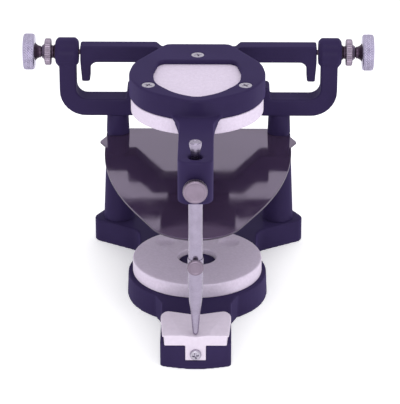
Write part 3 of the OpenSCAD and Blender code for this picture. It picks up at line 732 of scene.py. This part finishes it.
def flat_head(length):
    """Profile of a countersunk screw whose top is at station 0 and whose point is below."""
    return eased([[0, -length], [1.5, -length], [1.5, -1.7], [3.0, -0.18], [2.85, 0], [0, 0]],
                 [0, 0.3, 0.2, 0.1, 0.1, 0])


low, high = (np.array(c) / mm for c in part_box("upper_plate_screws"))
profile = divided(flat_head(high[2] - low[2]), 0.11)
top_screws = spun("ring_screws", profile, at_plate_screws(high[2]), (0, 0, 1), screw_steel, 72,
                  shape=crossed(3.0, 0, 0.85, 1.0), turns=(0.3, 1.0, 0.55))
dress(top_screws, "upper", "pin_steel", "upper_plate_screws")

low, high = (np.array(c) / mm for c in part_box("lower_plate_screws"))
profile = divided(flat_head(high[2] - low[2]), 0.11)
under = at_plate_screws(low[2])
under[:, 1] *= -1
under_screws = spun("base_screws", profile, under, (0, 0, -1), screw_steel, 72,
                    shape=crossed(3.0, 0, 0.85, 1.0), turns=(0.1, 0.9, 0.4))
dress(under_screws, "base", "pin_steel", "lower_plate_screws")

# %% Table screw
low, high = (np.array(c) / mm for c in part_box("incisal_table_screw"))
centre = np.array([0, high[1], (low[2] + high[2]) / 2])
length = high[1] - low[1]
pan = eased([[0, 0], [1.3, 0], [1.3, length - 1.5], [2.6, length - 1.5], [2.35, length - 0.35],
             [1.9, length - 0.12], [0, length - 0.12]], [0, 0.2, 0.1, 0.15, 0.5, 0.3, 0])
pan_screw = spun("table_pan_screw", divided(pan, 0.1), centre, (0, -1, 0), screw_steel, 72,
                 shape=crossed(2.4, length - 0.12, 0.75, 0.8, 0.1), turns=(0.2,))
dress(pan_screw, "base", "pin_steel", "incisal_table_screw")

# %% [markdown]
# ## Clamp screws
# Two small knurled knobs face the user: the upper one clamps the pin in the frame, and the
# lower one holds the tip on the pin. Their faces are slightly dished and have a turned rim,
# which catches the light.


# %% Knobs and their screws
def knob(node, name, body, r, blind, teeth, depth):
    """Disc with a dished face and a rim that is knurled straight across."""
    low, high = (np.array(c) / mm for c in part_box(node))
    width = high[1] - low[1]
    centre = np.array([(low[0] + high[0]) / 2, high[1], (low[2] + high[2]) / 2])
    bore = blind[0]
    profile = [[0, blind[1]], [bore, blind[1]], [bore, 0], [r - 0.35, 0], [r, 0.35],
               [r, width - 0.5], [r - 0.5, width], [r - 1.1, width], [r - 1.35, width - 0.18],
               [0, width - 0.18]]
    profile = eased(profile, [0, 0, 0.1, 0.2, 0.2, 0.25, 0.25, 0.15, 0.2, 0])
    piece = spun(name, divided(profile, 0.18), centre, (0, -1, 0), knob_steel, teeth * 8,
                 shape=knurled(r, teeth, depth, 0.2, width - 0.3, 0))
    return dress(piece, body, "knurled_steel", node)


knob("pin_clamp_knob", "clamp_disc", "clamp_knob", 5.3, (2.05, 2.15), 40, 0.28)
knob("tip_set_knob", "tip_disc", "tip_knob", 3.65, (1.25, 1.13), 28, 0.22)
for node, body, r in (("pin_clamp_screw", "clamp_screw", 1.92), ("tip_set_screw", "tip_screw", 1.16)):
    low, high = (np.array(c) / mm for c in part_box(node))
    centre, length = np.array([0, high[1], (low[2] + high[2]) / 2]), high[1] - low[1]
    profile = eased([[0, 0], [r, 0], [r, length], [0, length]], [0, 0.25, 0.2, 0])
    stem = spun(node + "_thread", divided(profile, 0.1), centre, (0, -1, 0), black_steel, 40,
                shape=threaded(r, 0.3, length - 0.2, 0.5, 0.15))
    dress(stem, body, "screw_steel", node)

# %% [markdown]
# ## Tie bolts
# A socket screw runs up through each post from under the base and pulls the yoke down. Only
# its head can be seen, from below. The hexagon of the socket is a radius that changes with the
# angle: the flat's distance over the cosine of the angle from the middle of that flat.


# %% Tie bolts
def socketed(flat, first, last):
    """Between two stations, points near the socket's wall move to the hexagon."""
    def shape(radius, angle, station):
        from_flat = (angle + np.pi / 6) % (np.pi / 3) - np.pi / 6
        wall = (radius < 2.4) & (radius > 1e-6) & (station > first) & (station < last)
        return np.where(wall, radius / 2.3 * flat / np.cos(from_flat), radius), station
    return shape


low, high = (np.array(c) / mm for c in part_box("post_tie_bolts"))
length = high[2] - low[2]
bolt = [[0, length], [2.5, length], [2.5, 5], [4.25, 5], [4.25, 0], [2.3, 0], [2.3, 3], [0, 3]]
head_r = bolt[3][0]
bolt = eased(bolt, [0, 0.4, 0.2, 0.2, 0.5, 0.15, 0, 0])
centres = np.array([[side * (high[0] - head_r), (low[1] + high[1]) / 2, low[2]] for side in (-1, 1)])
bolts = spun("tie_bolts", divided(bolt, 1.0), centres, (0, 0, 1), screw_steel, 96,
             shape=socketed(2.0, -1, 3.2), turns=(0, 0.5))
dress(bolts, "base", "pin_steel", "post_tie_bolts")

# %% [markdown]
# ## Sizes
# The box round all the finished pieces is measured, with the floor left out.

# %% Measure the sizes
low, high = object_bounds()
